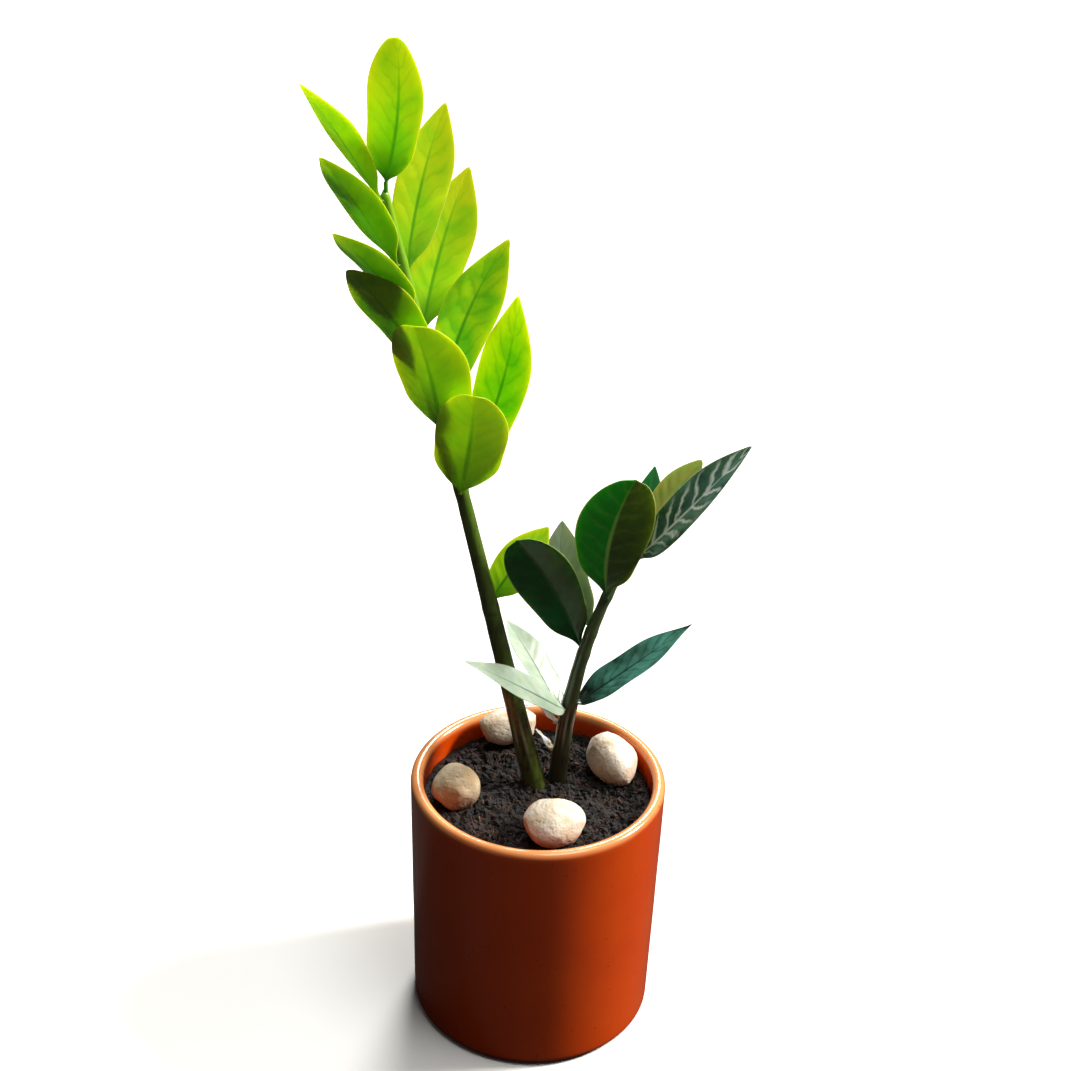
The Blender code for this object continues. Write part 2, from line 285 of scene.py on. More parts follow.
def line(first, second, steps):
    """Points between two others, without them."""
    shares = [i / steps for i in range(1, steps)]
    return [tuple(a + (b - a) * s for a, b in zip(first, second)) for s in shares]


def inner_radius(z):
    return BASE_RADIUS + (RIM_RADIUS - BASE_RADIUS) * z / POT_HEIGHT - WALL


FOOT_ROUND = 4 * MM
CORNER_ROUND = 3 * MM
POT_SIDES = 200
WANDER = 0.12 * MM  # how far a fired wall strays from a true circle

corner = arc(inner_radius(POT_FLOOR) - CORNER_ROUND, POT_FLOOR + CORNER_ROUND, CORNER_ROUND, -90, 0, 8)
lip = arc(RIM_RADIUS - WALL / 2, POT_HEIGHT - WALL / 2, WALL / 2, 180, 0, 20)
foot = arc(BASE_RADIUS - FOOT_ROUND, FOOT_ROUND, FOOT_ROUND, 0, -90, 10)
profile = line((0, POT_FLOOR), corner[0], 8) + corner + line(corner[-1], lip[0], 24)
profile += lip + line(lip[-1], foot[0], 40) + foot + line(foot[-1], (0, 0), 8)


def turned(profile, sides):
    """The profile's points turned about Z, ring by ring."""
    points = []
    for r, z in profile:
        for side in range(sides):
            a = 2 * math.pi * side / sides
            x, y = math.cos(a), math.sin(a)
            stray = WANDER * lumps((x * 30 * MM, y * 30 * MM, z), 25 * MM, 4.0) - WANDER / 2
            reach = r + stray * min(r / RIM_RADIUS, 1) * (z > 0)
            points.append((reach * x, reach * y, z))
    return points + [(0, 0, profile[0][1]), (0, 0, profile[-1][1])]


# %% [markdown]
# The glaze is a glassy coat, so it has sharp highlights (IOR about 1.5, low roughness) over
# an orange body. It runs thin over the lip, where the pale clay shows through, pools a shade
# darker low down, and has the faint orange peel and pinholes of a dipped glaze. The very
# bottom is wiped bare so that it doesn't stick in the kiln.

# %% Orange glaze
glaze, tree, shader = new_material(
    "orange dipped glaze on clay", IOR=1.5, Coat_Weight=0.2, Coat_Roughness=0.1
)
place = add(tree, "ShaderNodeTexCoord").outputs["Object"]
height = add(tree, "ShaderNodeSeparateXYZ", {0: place}).outputs[2]
cloudy = {"Vector": place, "Scale": 1 / (28 * MM), "Detail": 3.0}
cloud = add(tree, "ShaderNodeTexNoise", cloudy).outputs[0]
grainy = {"Vector": place, "Scale": 1 / (2.2 * MM), "Detail": 2.0}
speck = add(tree, "ShaderNodeTexNoise", grainy).outputs[0]
sink = add(tree, "ShaderNodeMapRange", {0: height, 1: 0.0, 2: POT_HEIGHT, 3: 0.15, 4: 0.0}).outputs[0]
wobble = add(tree, "ShaderNodeMath", {0: cloud, 1: 3 * MM}, operation="MULTIPLY").outputs[0]
lifted = add(tree, "ShaderNodeMath", {0: height, 1: wobble}, operation="ADD").outputs[0]
thin = add(
    tree,
    "ShaderNodeMapRange",
    {0: lifted, 1: POT_HEIGHT - 2.2 * MM, 2: POT_HEIGHT + 1.6 * MM},
    interpolation_type="SMOOTHSTEP",
).outputs[0]
pinholes = add(tree, "ShaderNodeMapRange", {0: speck, 1: 0.70, 2: 0.76, 4: 0.5}).outputs[0]
wiped = {0: height, 1: 0.2 * MM, 2: 0.6 * MM, 3: 1.0, 4: 0.0}
bare = add(tree, "ShaderNodeMapRange", wiped).outputs[0]
coats = [
    (cloud, "#DC5004"),
    (sink, "#8E2405"),
    (thin, "#DE9258"),
    (pinholes, "#6E1E06"),
    (bare, "#C99A72"),
]
matt = add(tree, "ShaderNodeMapRange", {0: bare, 3: 0.2, 4: 0.9}).outputs[0]
peel = add(tree, "ShaderNodeBump", {"Height": speck, "Strength": 0.12, "Distance": 0.15 * MM})
tree.links.new(layered(tree, "#C83C02", coats), shader.inputs["Base Color"])
tree.links.new(matt, shader.inputs["Roughness"])
tree.links.new(peel.outputs[0], shader.inputs["Normal"])

pot = new_piece("glazed_pot", turned(profile, POT_SIDES), rings_to_faces(len(profile), POT_SIDES), glaze)
stands_for(pot, "pot")
print("pot:", len(pot.data.polygons), "faces")

# %% [markdown]
# ## The pebbles
#
# Four river pebbles of chalky white stone lie on the soil. A tumbled stone keeps the flats
# where it once broke, with rounded edges between them, and its skin is finely pitted. So each
# packed pebble is merged and subdivided, pressed flat against a few random planes, and then
# pushed in and out by noise at three sizes, the finest as pits only.

# %% Shape a pebble
# node and seed
PEBBLES = {"pebble_back": 3.0, "pebble_left": 7.0, "pebble_front": 11.0, "pebble_right": 15.0}
FLATS = 9  # planes pressed against each stone
FLAT_START = 0.86  # a flat begins this share of the way out from the centre
PRESSED = 0.62  # the share of what stands past a flat that is pushed back


def weathered(points, normals, centre, seed):
    """The points with flats, dents and pits worked into them."""
    rng = np.random.default_rng(int(seed))
    flats = rng.normal(size=(FLATS, 3))
    flats /= np.linalg.norm(flats, axis=1)[:, None]
    for flat in flats:
        reach = (points - centre) @ flat
        over = np.maximum(reach - FLAT_START * reach.max(), 0)
        points = points - np.outer(over * PRESSED, flat)
    out = []
    for point, normal in zip(points, normals):
        dent = 0.35 * MM * lumps(point, 7 * MM, seed) + 0.16 * MM * lumps(point, 2.4 * MM, seed)
        pit = min(lumps(point, 0.9 * MM, seed) + 0.15, 0) * 0.3 * MM
        out.append(Vector(point) + Vector(normal) * (dent + pit - 0.1 * MM))
    return out


def make_pebble(node, seed, material):
    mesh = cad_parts[node].data.copy()
    shape = bmesh.new()
    shape.from_mesh(mesh)
    bmesh.ops.remove_doubles(shape, verts=shape.verts, dist=0.01 * MM)
    shape.to_mesh(mesh)
    shape.free()
    rough = bpy.data.objects.new(node + "_rough", mesh)
    bpy.context.scene.collection.objects.link(rough)
    rounder = rough.modifiers.new("Rounder", "SUBSURF")
    rounder.levels = 3
    rounder.render_levels = 3
    graph = bpy.context.evaluated_depsgraph_get()
    fine = bpy.data.meshes.new_from_object(rough.evaluated_get(graph), depsgraph=graph)
    bpy.data.objects.remove(rough)
    points = np.array([v.co for v in fine.vertices])
    normals = np.array([v.normal for v in fine.vertices])
    faces = [tuple(p.vertices) for p in fine.polygons]
    centre = points.mean(axis=0)
    pebble = new_piece(node + "_stone", weathered(points, normals, centre, seed), faces, material)
    stands_for(pebble, node)
    return pebble


# %% [markdown]
# The stone is limestone: rough, with no shine, cream-white with warm sandy patches and darker
# specks in its pits. It is darker and warmer low down, near the soil.

# %% Chalky stone
def chalky_stone(name, pale, sandy, lower_tint):
    """Rough pale stone, sandy in patches, darker and warmer low down, with dark specks in its pits."""
    material, tree, shader = new_material(
        name, Roughness=0.82, IOR=1.5, Subsurface_Weight=0.08, Subsurface_Scale=1.5 * MM
    )
    place = add(tree, "ShaderNodeTexCoord").outputs["Object"]
    height = add(tree, "ShaderNodeSeparateXYZ", {0: place}).outputs[2]
    patchy = {"Vector": place, "Scale": 1 / (9 * MM), "Detail": 4.0}
    patch = add(tree, "ShaderNodeTexNoise", patchy).outputs[0]
    gritty = {"Vector": place, "Scale": 1 / (0.8 * MM), "Detail": 3.0}
    grit = add(tree, "ShaderNodeTexNoise", gritty).outputs[0]
    warm = add(tree, "ShaderNodeMapRange", {0: patch, 1: 0.42, 2: 0.62}).outputs[0]
    wander = add(tree, "ShaderNodeMath", {0: patch, 1: 9 * MM}, operation="MULTIPLY").outputs[0]
    level = add(tree, "ShaderNodeMath", {0: height, 1: wander}, operation="SUBTRACT").outputs[0]
    near_soil = {0: level, 1: 95 * MM, 2: 105 * MM, 3: 0.85, 4: 0.0}
    low = add(tree, "ShaderNodeMapRange", near_soil).outputs[0]
    specks = add(tree, "ShaderNodeMapRange", {0: grit, 1: 0.36, 2: 0.28, 3: 0.0, 4: 0.55}).outputs[0]
    colour = layered(tree, pale, [(warm, sandy), (low, lower_tint), (specks, "#7D6247")])
    bump = add(tree, "ShaderNodeBump", {"Height": grit, "Strength": 0.5, "Distance": 0.25 * MM})
    tree.links.new(colour, shader.inputs["Base Color"])
    tree.links.new(bump.outputs[0], shader.inputs["Normal"])
    return material


STONES = {
    "pebble_white": chalky_stone("chalky white limestone", "#E6DCCC", "#D8C4A8", "#B09070"),
    "pebble_tan": chalky_stone("sandy limestone", "#C8B698", "#AE9470", "#7C6044"),
}
pebbles = []
for node, seed in PEBBLES.items():
    stone = STONES[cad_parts[node].data.materials[0].name]
    pebbles.append(make_pebble(node, seed, stone))
print("pebbles:", [len(p.data.polygons) for p in pebbles], "faces")

# %% [markdown]
# ## The soil
#
# Potting soil is peat and bark: dark, crumbly and uneven. Its body is a plug that fills the
# pot, with a fine lumpy top that dips under each pebble. Loose crumbs lie on it. Thousands of
# them by hand would be hopeless, and a texture alone would look flat at this distance, so
# Geometry Nodes scatter small lumps over the top, each turned, stretched and roughened.

# %% Soil body
soil_low, soil_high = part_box("soil")
CRUMB_ROOM = 1.2 * MM  # the body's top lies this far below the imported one, for the crumbs
WALL_GAP = 0.35 * MM
SOIL_LEVEL = soil_high.z - CRUMB_ROOM
SOIL_RINGS, SOIL_SIDES = 72, 200
under_pebbles = []
for pebble in pebbles:
    corners = [v.co.copy() for v in pebble.data.vertices]
    under_pebbles.append(BVHTree.FromPolygons(corners, [tuple(p.vertices) for p in pebble.data.polygons]))


def soil_top(x, y):
    """The height of the soil: hillocks and clods, dented by the pebbles."""
    here = (x, y, 0)
    height = SOIL_LEVEL + 0.9 * MM * lumps(here, 13 * MM, 1.0) + 0.8 * MM * lumps(here, 5 * MM, 2.0)
    height += 0.5 * MM * lumps(here, 2.2 * MM, 5.0)
    for tree in under_pebbles:
        hit = tree.ray_cast(Vector((x, y, 0)), Vector((0, 0, 1)))[0]
        if hit:
            height = min(height, hit.z - 0.15 * MM)
    return height


soil_radius = inner_radius(SOIL_LEVEL) - WALL_GAP
soil_angles = np.linspace(0, 2 * math.pi, SOIL_SIDES, False)
points = []
for r, z in ((inner_radius(soil_low.z) - 4 * MM, soil_low.z), (soil_radius, soil_low.z + 4 * MM)):
    points += [(r * math.cos(a), r * math.sin(a), z) for a in soil_angles]
for ring in range(SOIL_RINGS):
    r = soil_radius * (1 - ring / SOIL_RINGS)
    for a in soil_angles:
        x, y = r * math.cos(a), r * math.sin(a)
        points.append((x, y, soil_top(x, y)))
points += [(0, 0, soil_low.z), (0, 0, soil_top(0, 0))]

# %% [markdown]
# Damp peat is nearly black with a reddish-brown tint where it dries. It has no highlight of
# its own, only a slight glint on wet crumbs.

# %% Peat
def peat(name, dark, light, roughness):
    """Matt crumbly stuff, dark where it is damp and light where it has dried."""
    material, tree, shader = new_material(name, Roughness=roughness)
    place = add(tree, "ShaderNodeTexCoord").outputs["Object"]
    clods = add(tree, "ShaderNodeTexNoise", {"Vector": place, "Scale": 1 / (6 * MM), "Detail": 5.0})
    grains = add(tree, "ShaderNodeTexNoise", {"Vector": place, "Scale": 1 / (1.2 * MM), "Detail": 3.0})
    dry = add(tree, "ShaderNodeMapRange", {0: clods.outputs[0], 1: 0.38, 2: 0.68})
    colour = layered(tree, dark, [(dry.outputs[0], light)])
    bump = add(tree, "ShaderNodeBump", {"Height": grains.outputs[0], "Strength": 0.8, "Distance": 0.6 * MM})
    tree.links.new(colour, shader.inputs["Base Color"])
    tree.links.new(bump.outputs[0], shader.inputs["Normal"])
    return material


damp_peat = peat("damp black peat", "#060403", "#1C120E", 0.85)
dry_peat = peat("drying peat crumbs", "#0B0705", "#442C23", 0.9)
bark = peat("shredded pine bark", "#2A1A12", "#7A5540", 0.75)
soil = new_piece("soil_bed", points, rings_to_faces(SOIL_RINGS + 2, SOIL_SIDES), damp_peat)
print("soil:", len(soil.data.polygons), "faces, top near", round(SOIL_LEVEL / MM, 1), "mm")


# %% Crumb scatter tree
def crumb_tree():
    """Small rough lumps scattered on the upward faces within a radius of the Z axis."""
    tree = bpy.data.node_groups.new("Soil crumbs", "GeometryNodeTree")
    names = [
        ("Geometry", "NodeSocketGeometry"),
        ("Per square metre", "NodeSocketFloat"),
        ("Within radius", "NodeSocketFloat"),
        ("Smallest", "NodeSocketVector"),
        ("Largest", "NodeSocketVector"),
        ("Roughness", "NodeSocketFloat"),
        ("Seed", "NodeSocketInt"),
        ("Material", "NodeSocketMaterial"),
    ]
    for name, kind in names:
        tree.interface.new_socket(name, in_out="INPUT", socket_type=kind)
    tree.interface.new_socket("Geometry", in_out="OUTPUT", socket_type="NodeSocketGeometry")
    given = add(tree, "NodeGroupInput").outputs
    normal = add(tree, "GeometryNodeInputNormal")
    upness = add(tree, "ShaderNodeSeparateXYZ", {0: normal.outputs[0]}).outputs[2]
    upward = add(tree, "FunctionNodeCompare", {0: upness, 1: 0.3}, operation="GREATER_THAN")
    flat = add(
        tree,
        "ShaderNodeVectorMath",
        {0: add(tree, "GeometryNodeInputPosition").outputs[0], 1: (1.0, 1.0, 0.0)},
        operation="MULTIPLY",
    )
    far = add(tree, "ShaderNodeVectorMath", {0: flat.outputs[0]}, operation="LENGTH")
    inside = add(tree, "FunctionNodeCompare", {0: far.outputs[1], 1: given[2]}, operation="LESS_THAN")
    chosen = add(tree, "FunctionNodeBooleanMath", {0: upward.outputs[0], 1: inside.outputs[0]})
    spots = add(
        tree,
        "GeometryNodeDistributePointsOnFaces",
        {"Mesh": given[0], "Selection": chosen.outputs[0], "Density": given[1], "Seed": given[6]},
    )
    lump = add(tree, "GeometryNodeMeshIcoSphere", {"Radius": 0.5, "Subdivisions": 1})
    spin = add(
        tree,
        "FunctionNodeRandomValue",
        {0: (0.0, 0.0, 0.0), 1: (6.28, 6.28, 6.28), "Seed": given[6]},
        data_type="FLOAT_VECTOR",
    )
    size = add(
        tree,
        "FunctionNodeRandomValue",
        {0: given[3], 1: given[4], "Seed": given[6]},
        data_type="FLOAT_VECTOR",
    )
    laid = add(
        tree,
        "GeometryNodeInstanceOnPoints",
        {
            "Points": spots.outputs[0],
            "Instance": lump.outputs[0],
            "Rotation": spin.outputs[0],
            "Scale": size.outputs[0],
        },
    )
    solid = add(tree, "GeometryNodeRealizeInstances", {0: laid.outputs[0]})
    wobble = add(tree, "ShaderNodeTexNoise", {"Scale": 1 / (1.6 * MM), "Detail": 1.0})
    centred = add(
        tree,
        "ShaderNodeVectorMath",
        {0: wobble.outputs[1], 1: (0.5, 0.5, 0.5)},
        operation="SUBTRACT",
    )
    pushed = add(tree, "ShaderNodeVectorMath", {0: centred.outputs[0], "Scale": given[5]}, operation="SCALE")
    rough = add(tree, "GeometryNodeSetPosition", {"Geometry": solid.outputs[0], "Offset": pushed.outputs[0]})
    painted = add(tree, "GeometryNodeSetMaterial", {"Geometry": rough.outputs[0], "Material": given[7]})
    add(tree, "NodeGroupOutput", {0: painted.outputs[0]})
    return tree


# %% [markdown]
# Three sizes of crumb are scattered with the same tree: a dense layer of fine ones, some
# clods, and a few flat slivers of bark. The sizes are in millimetres along, across and up.

# %% Scatter the crumbs
CRUMBS = crumb_tree()
# name, per square centimetre, smallest, largest, roughness, seed, material
BITS = [
    ("soil_crumbs_fine", 70, (0.7, 0.6, 0.5), (2.1, 1.8, 1.5), 1.0, 3, dry_peat),
    ("soil_clods", 13, (2.0, 1.8, 1.5), (5.2, 4.2, 3.4), 2.6, 8, damp_peat),
    ("soil_bark_slivers", 3, (2.0, 0.7, 0.4), (6.0, 1.8, 0.9), 0.8, 5, bark),
]


def scattered(name, surface, values):
    """The tree's result on the surface, as a plain mesh object."""
    holder = bpy.data.objects.new(name + "_holder", surface.data.copy())
    bpy.context.scene.collection.objects.link(holder)
    scatter = holder.modifiers.new("Scatter", "NODES")
    scatter.node_group = CRUMBS
    for item in CRUMBS.interface.items_tree:
        if item.in_out == "INPUT" and item.name in values:
            scatter[item.identifier] = values[item.name]
    graph = bpy.context.evaluated_depsgraph_get()
    mesh = bpy.data.meshes.new_from_object(holder.evaluated_get(graph), depsgraph=graph)
    bpy.data.objects.remove(holder)
    piece = bpy.data.objects.new(name, mesh)
    bpy.context.scene.collection.objects.link(piece)
    return piece


stands_for(soil, "soil")
for name, density, smallest, largest, roughness, seed, material in BITS:
    values = {
        "Per square metre": density * 1e4,
        "Within radius": soil_radius - largest[0] * MM * 0.6,
        "Smallest": [s * MM for s in smallest],
        "Largest": [s * MM for s in largest],
        "Roughness": roughness * MM,
        "Seed": seed,
        "Material": material,
    }
    crumbs = scattered(name, soil, values)
    stands_for(crumbs, "soil")
    print(name, len(crumbs.data.polygons), "faces")

# %% [markdown]
# ## The stems
#
# A ZZ stem is a fleshy leaf stalk, thick and slightly swollen at the soil and thin at the
# tip, smooth and waxy, with dark flecks low down. Its path and thickness are measured from
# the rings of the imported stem: a polynomial through their centres gives a smooth line. A
# small swelling marks each leaflet's joint.

# %% Measure a stem
def measure_stem(node):
    """Polynomials of the share of the height: the centre line's three, and the radius."""
    points = merged_points(node)
    points = points[np.argsort(points[:, 2])]
    breaks = np.where(np.diff(points[:, 2]) > 3 * MM)[0] + 1
    rings = np.split(points, breaks)[1:]
    centres = np.array([ring.mean(axis=0) for ring in rings])
    radii = [np.linalg.norm(ring - ring.mean(axis=0), axis=1).mean() for ring in rings]
    rise = centres[:, 2] - centres[0, 2]
    share = rise / rise[-1]
    lines = [np.polyfit(share, centres[:, axis], 4) for axis in range(3)]
    return lines, np.polyfit(share, radii, 3)


STEMS = {name: measure_stem(name) for name in ("main_stem", "second_stem")}


def stem_at(stem, share):
    """The centre, the direction and the radius there."""
    lines, radii = STEMS[stem]
    centre = Vector([np.polyval(line, share) for line in lines])
    along = Vector([np.polyval(np.polyder(line), share) for line in lines]).normalized()
    return centre, along, float(np.polyval(radii, share))


def nearest_on_stem(point):
    """(distance, stem, share) of the place on a stem's line that is nearest to the point."""
    found = []
    for stem in STEMS:
        for share in np.linspace(0, 1, 201):
            found.append(((stem_at(stem, share)[0] - Vector(point)).length, stem, share))
    return min(found)


for stem in STEMS:
    print(stem, "radius at soil", round(stem_at(stem, 0)[2] / MM, 2), "mm")

# %% [markdown]
# ## The leaflets
#
# A ZZ leaflet is a thick, glossy blade on a very short stalk. It is folded a little along its
# midrib, which is a groove above and a rib below, and its side veins lift the surface in soft
# ripples. Each packed leaflet is a grid of 11 rows by 5 columns, on both faces. Its points
# are sorted into that grid again: along the line from stalk to tip, then across. The grid is
# then read with a smooth spline many times more finely, and the blade is given its thickness,
# which runs out to a thin edge.

# %% Read a packed leaflet
GRID_ROWS, GRID_COLUMNS = 11, 5


def long_axis(points):
    """The direction in which the points spread most."""
    centred = points - points.mean(axis=0)
    return np.linalg.eigh(centred.T @ centred)[1][:, -1]


def read_sheet(node):
    """The leaflet's middle sheet, rows from stalk to tip, and the way its upper face looks."""
    points = merged_points(node)
    reach = points @ long_axis(points)
    low_end, high_end = points[np.argmin(reach)], points[np.argmax(reach)]
    stalk_first = nearest_on_stem(low_end)[0] < nearest_on_stem(high_end)[0]
    axis = (high_end - low_end) if stalk_first else (low_end - high_end)
    for _ in range(3):
        axis = axis / np.linalg.norm(axis)
        order = np.argsort(points @ axis)
        rows = points[order].reshape(GRID_ROWS, 2 * GRID_COLUMNS, 3)
        axis = rows[-1].mean(axis=0) - rows[0].mean(axis=0)
    axis = axis / np.linalg.norm(axis)
    spread = (rows - rows.mean(axis=1, keepdims=True)).reshape(-1, 3)
    spread = spread - np.outer(spread @ axis, axis)
    across = long_axis(spread)
    out = np.cross(axis, across)
    middle = rows[GRID_ROWS // 2]
    middle = middle - middle.mean(axis=0)
    edges = np.argsort(np.abs(middle @ across))
    if (middle[edges[-4:]] @ out).mean() < (middle[edges[:2]] @ out).mean():
        across, out = -across, -out
    sheet = []
    for row in rows:
        row = row[np.argsort(row @ across)].reshape(GRID_COLUMNS, 2, 3)
        sheet.append(row.mean(axis=1))
    return np.array(sheet), out


# %% Build a fine blade
BLADE_ROWS, BLADE_COLUMNS = 84, 29
TIP_START = 0.975  # the share of the length at which the tip's end is closed
BASE_FULLNESS = 0.16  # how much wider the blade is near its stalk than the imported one
FULLEST, FULL_REACH = 0.2, 0.13  # where along the blade that is, and how far it spreads
POINT_START = 0.6  # the share of the length at which a pointed leaflet starts to narrow
STALK_ROWS = 4  # rows that take the stalk into its stem
STALK_HIGHEST = 0.985  # a stalk at the stem's very tip is rooted this share of the way up
STALK_ROOT = 0.45  # a stalk starts this share of the stem's radius from the stem's line
STALK_REACH, STALK_THICKNESS = 0.055, 1.7 * MM  # the reach is a share of the length
GROOVE_DEPTH, GROOVE_WIDTH = 0.22 * MM, 0.55 * MM
RIB_HEIGHT, RIB_WIDTH = 0.34 * MM, 0.7 * MM
VEIN_PAIRS, VEIN_LEAN = 8.5, 1.5  # how many side veins, and how far they sweep to the tip
EDGE_CURL = 0.5 * MM


def build_blade(sheet, out, thickness, ripple, point, seed):
    """Closed rings around the blade, from stalk to tip; point is how sharp the tip is."""
    places = np.linspace(0, GRID_ROWS - 1, BLADE_ROWS)
    share = (1 - np.cos(math.pi * places / (GRID_ROWS - 1))) / 2
    across = np.sin(np.linspace(-math.pi / 2, math.pi / 2, BLADE_COLUMNS))
    fine = smooth(sheet, places)
    columns = (across + 1) / 2 * (GRID_COLUMNS - 1)
    fine = smooth(fine.transpose(1, 0, 2), columns).transpose(1, 0, 2)
    centre = fine[:, BLADE_COLUMNS // 2]
    late = np.clip((share - TIP_START) / (1 - TIP_START), 0, 0.995)
    narrowing = point * np.clip((share - POINT_START) / (1 - POINT_START), 0, 1) ** 2
    fullness = 1 + BASE_FULLNESS * np.exp(-(((share - FULLEST) / FULL_REACH) ** 2))
    pinch = (np.sqrt(1 - late**2) * (1 - narrowing) * fullness)[:, None, None]
    fine = centre[:, None] + (fine - centre[:, None]) * pinch
    along = np.gradient(fine, axis=0)
    sideways = np.gradient(fine, axis=1)
    normal = np.cross(along, sideways)
    normal /= np.linalg.norm(normal, axis=2)[:, :, None] + 1e-12
    if (normal[BLADE_ROWS // 2].mean(axis=0) @ out) < 0:
        normal = -normal
    aside = np.linalg.norm(fine - centre[:, None], axis=2)
    s, v = share[:, None], across[None, :]
    stalk = np.exp(-((s / STALK_REACH) ** 2))
    body = thickness * (1 - 0.35 * s) * (1 - stalk) + STALK_THICKNESS * stalk
    half = body / 2 * np.sqrt(1 - v**4) * np.minimum(pinch[:, :, 0], 1)
    groove = GROOVE_DEPTH * np.exp(-((aside / GROOVE_WIDTH) ** 2)) * (1 - 0.6 * s) * (1 - stalk)
    rib = RIB_HEIGHT * np.exp(-((aside / RIB_WIDTH) ** 2)) * (1 - s) ** 0.7 * (1 - stalk)
    wave = np.sin(2 * math.pi * (VEIN_PAIRS * s - VEIN_LEAN * np.abs(v) + 0.5 * (v > 0) + seed))
    veins = ripple * wave * np.abs(v) * (1 - v**2) * 2 * np.sin(math.pi * s) ** 0.5
    turns = 1.3 * s + seed * 0.37 + 0.2 * v
    curl = EDGE_CURL * v**2 * np.sin(2 * math.pi * turns) * np.sin(math.pi * s)
    upper = fine + normal * (half - groove + veins + curl)[:, :, None]
    lower = fine - normal * (half + rib - veins - curl)[:, :, None]
    edge = fine + normal * (veins + curl)[:, :, None]
    upper[:, [0, -1]] = edge[:, [0, -1]]
    rings = np.concatenate([upper, lower[:, -2:0:-1]], axis=1)
    v_ring = np.concatenate([across, across[-2:0:-1]])
    under = np.concatenate([np.zeros(BLADE_COLUMNS), np.ones(BLADE_COLUMNS - 2)])
    under[[0, BLADE_COLUMNS - 1]] = 0.5
    return rings, share, v_ring, under


def make_leaflet(node, material, thickness, ripple, point, seed):
    """The fine leaflet, rooted in its stem. Returns the stem's name and the share of its height."""
    sheet, out = read_sheet(node)
    rings, share, v_ring, under = build_blade(sheet, out, thickness, ripple, point, seed)
    start = rings[0].mean(axis=0)
    distance, stem, place = nearest_on_stem(start)
    stem_centre, _, radius = stem_at(stem, min(place, STALK_HIGHEST))
    inside = np.array(stem_centre.lerp(Vector(start), STALK_ROOT * radius / max(distance, radius)))
    into_stem = [rings[0] + (inside - start) * (1 - k / STALK_ROWS) for k in range(STALK_ROWS)]
    rings = np.concatenate([into_stem, rings])
    share = np.concatenate([np.zeros(STALK_ROWS), share])
    sides = rings.shape[1]
    ends = [rings[0].mean(axis=0), rings[-1].mean(axis=0)]
    points = np.concatenate([rings.reshape(-1, 3), ends])
    attributes = {
        "along": np.concatenate([np.repeat(share, sides), [0, 1]]),
        "across": np.concatenate([np.tile(v_ring, len(rings)), [0, 0]]),
        "under": np.concatenate([np.tile(under, len(rings)), [0.5, 0.5]]),
    }
    leaflet = new_piece(node + "_blade", points, rings_to_faces(len(rings), sides), material, attributes)
    stands_for(leaflet, node)
    return stem, place


# %% [markdown]
# Leaf skin is a thin clear wax over coloured flesh. Young leaflets are lime green and let the
# light through, so they glow when it comes from behind; their veins and stalk end are deeper
# green. Old ones are nearly black-green and shine like lacquer. One function makes every
# leaf finish: the colours differ, and so do how rough the wax is and how much light gets
# through. The flesh is Subsurface on the Principled shader, deep enough to carry light right
# through a blade.

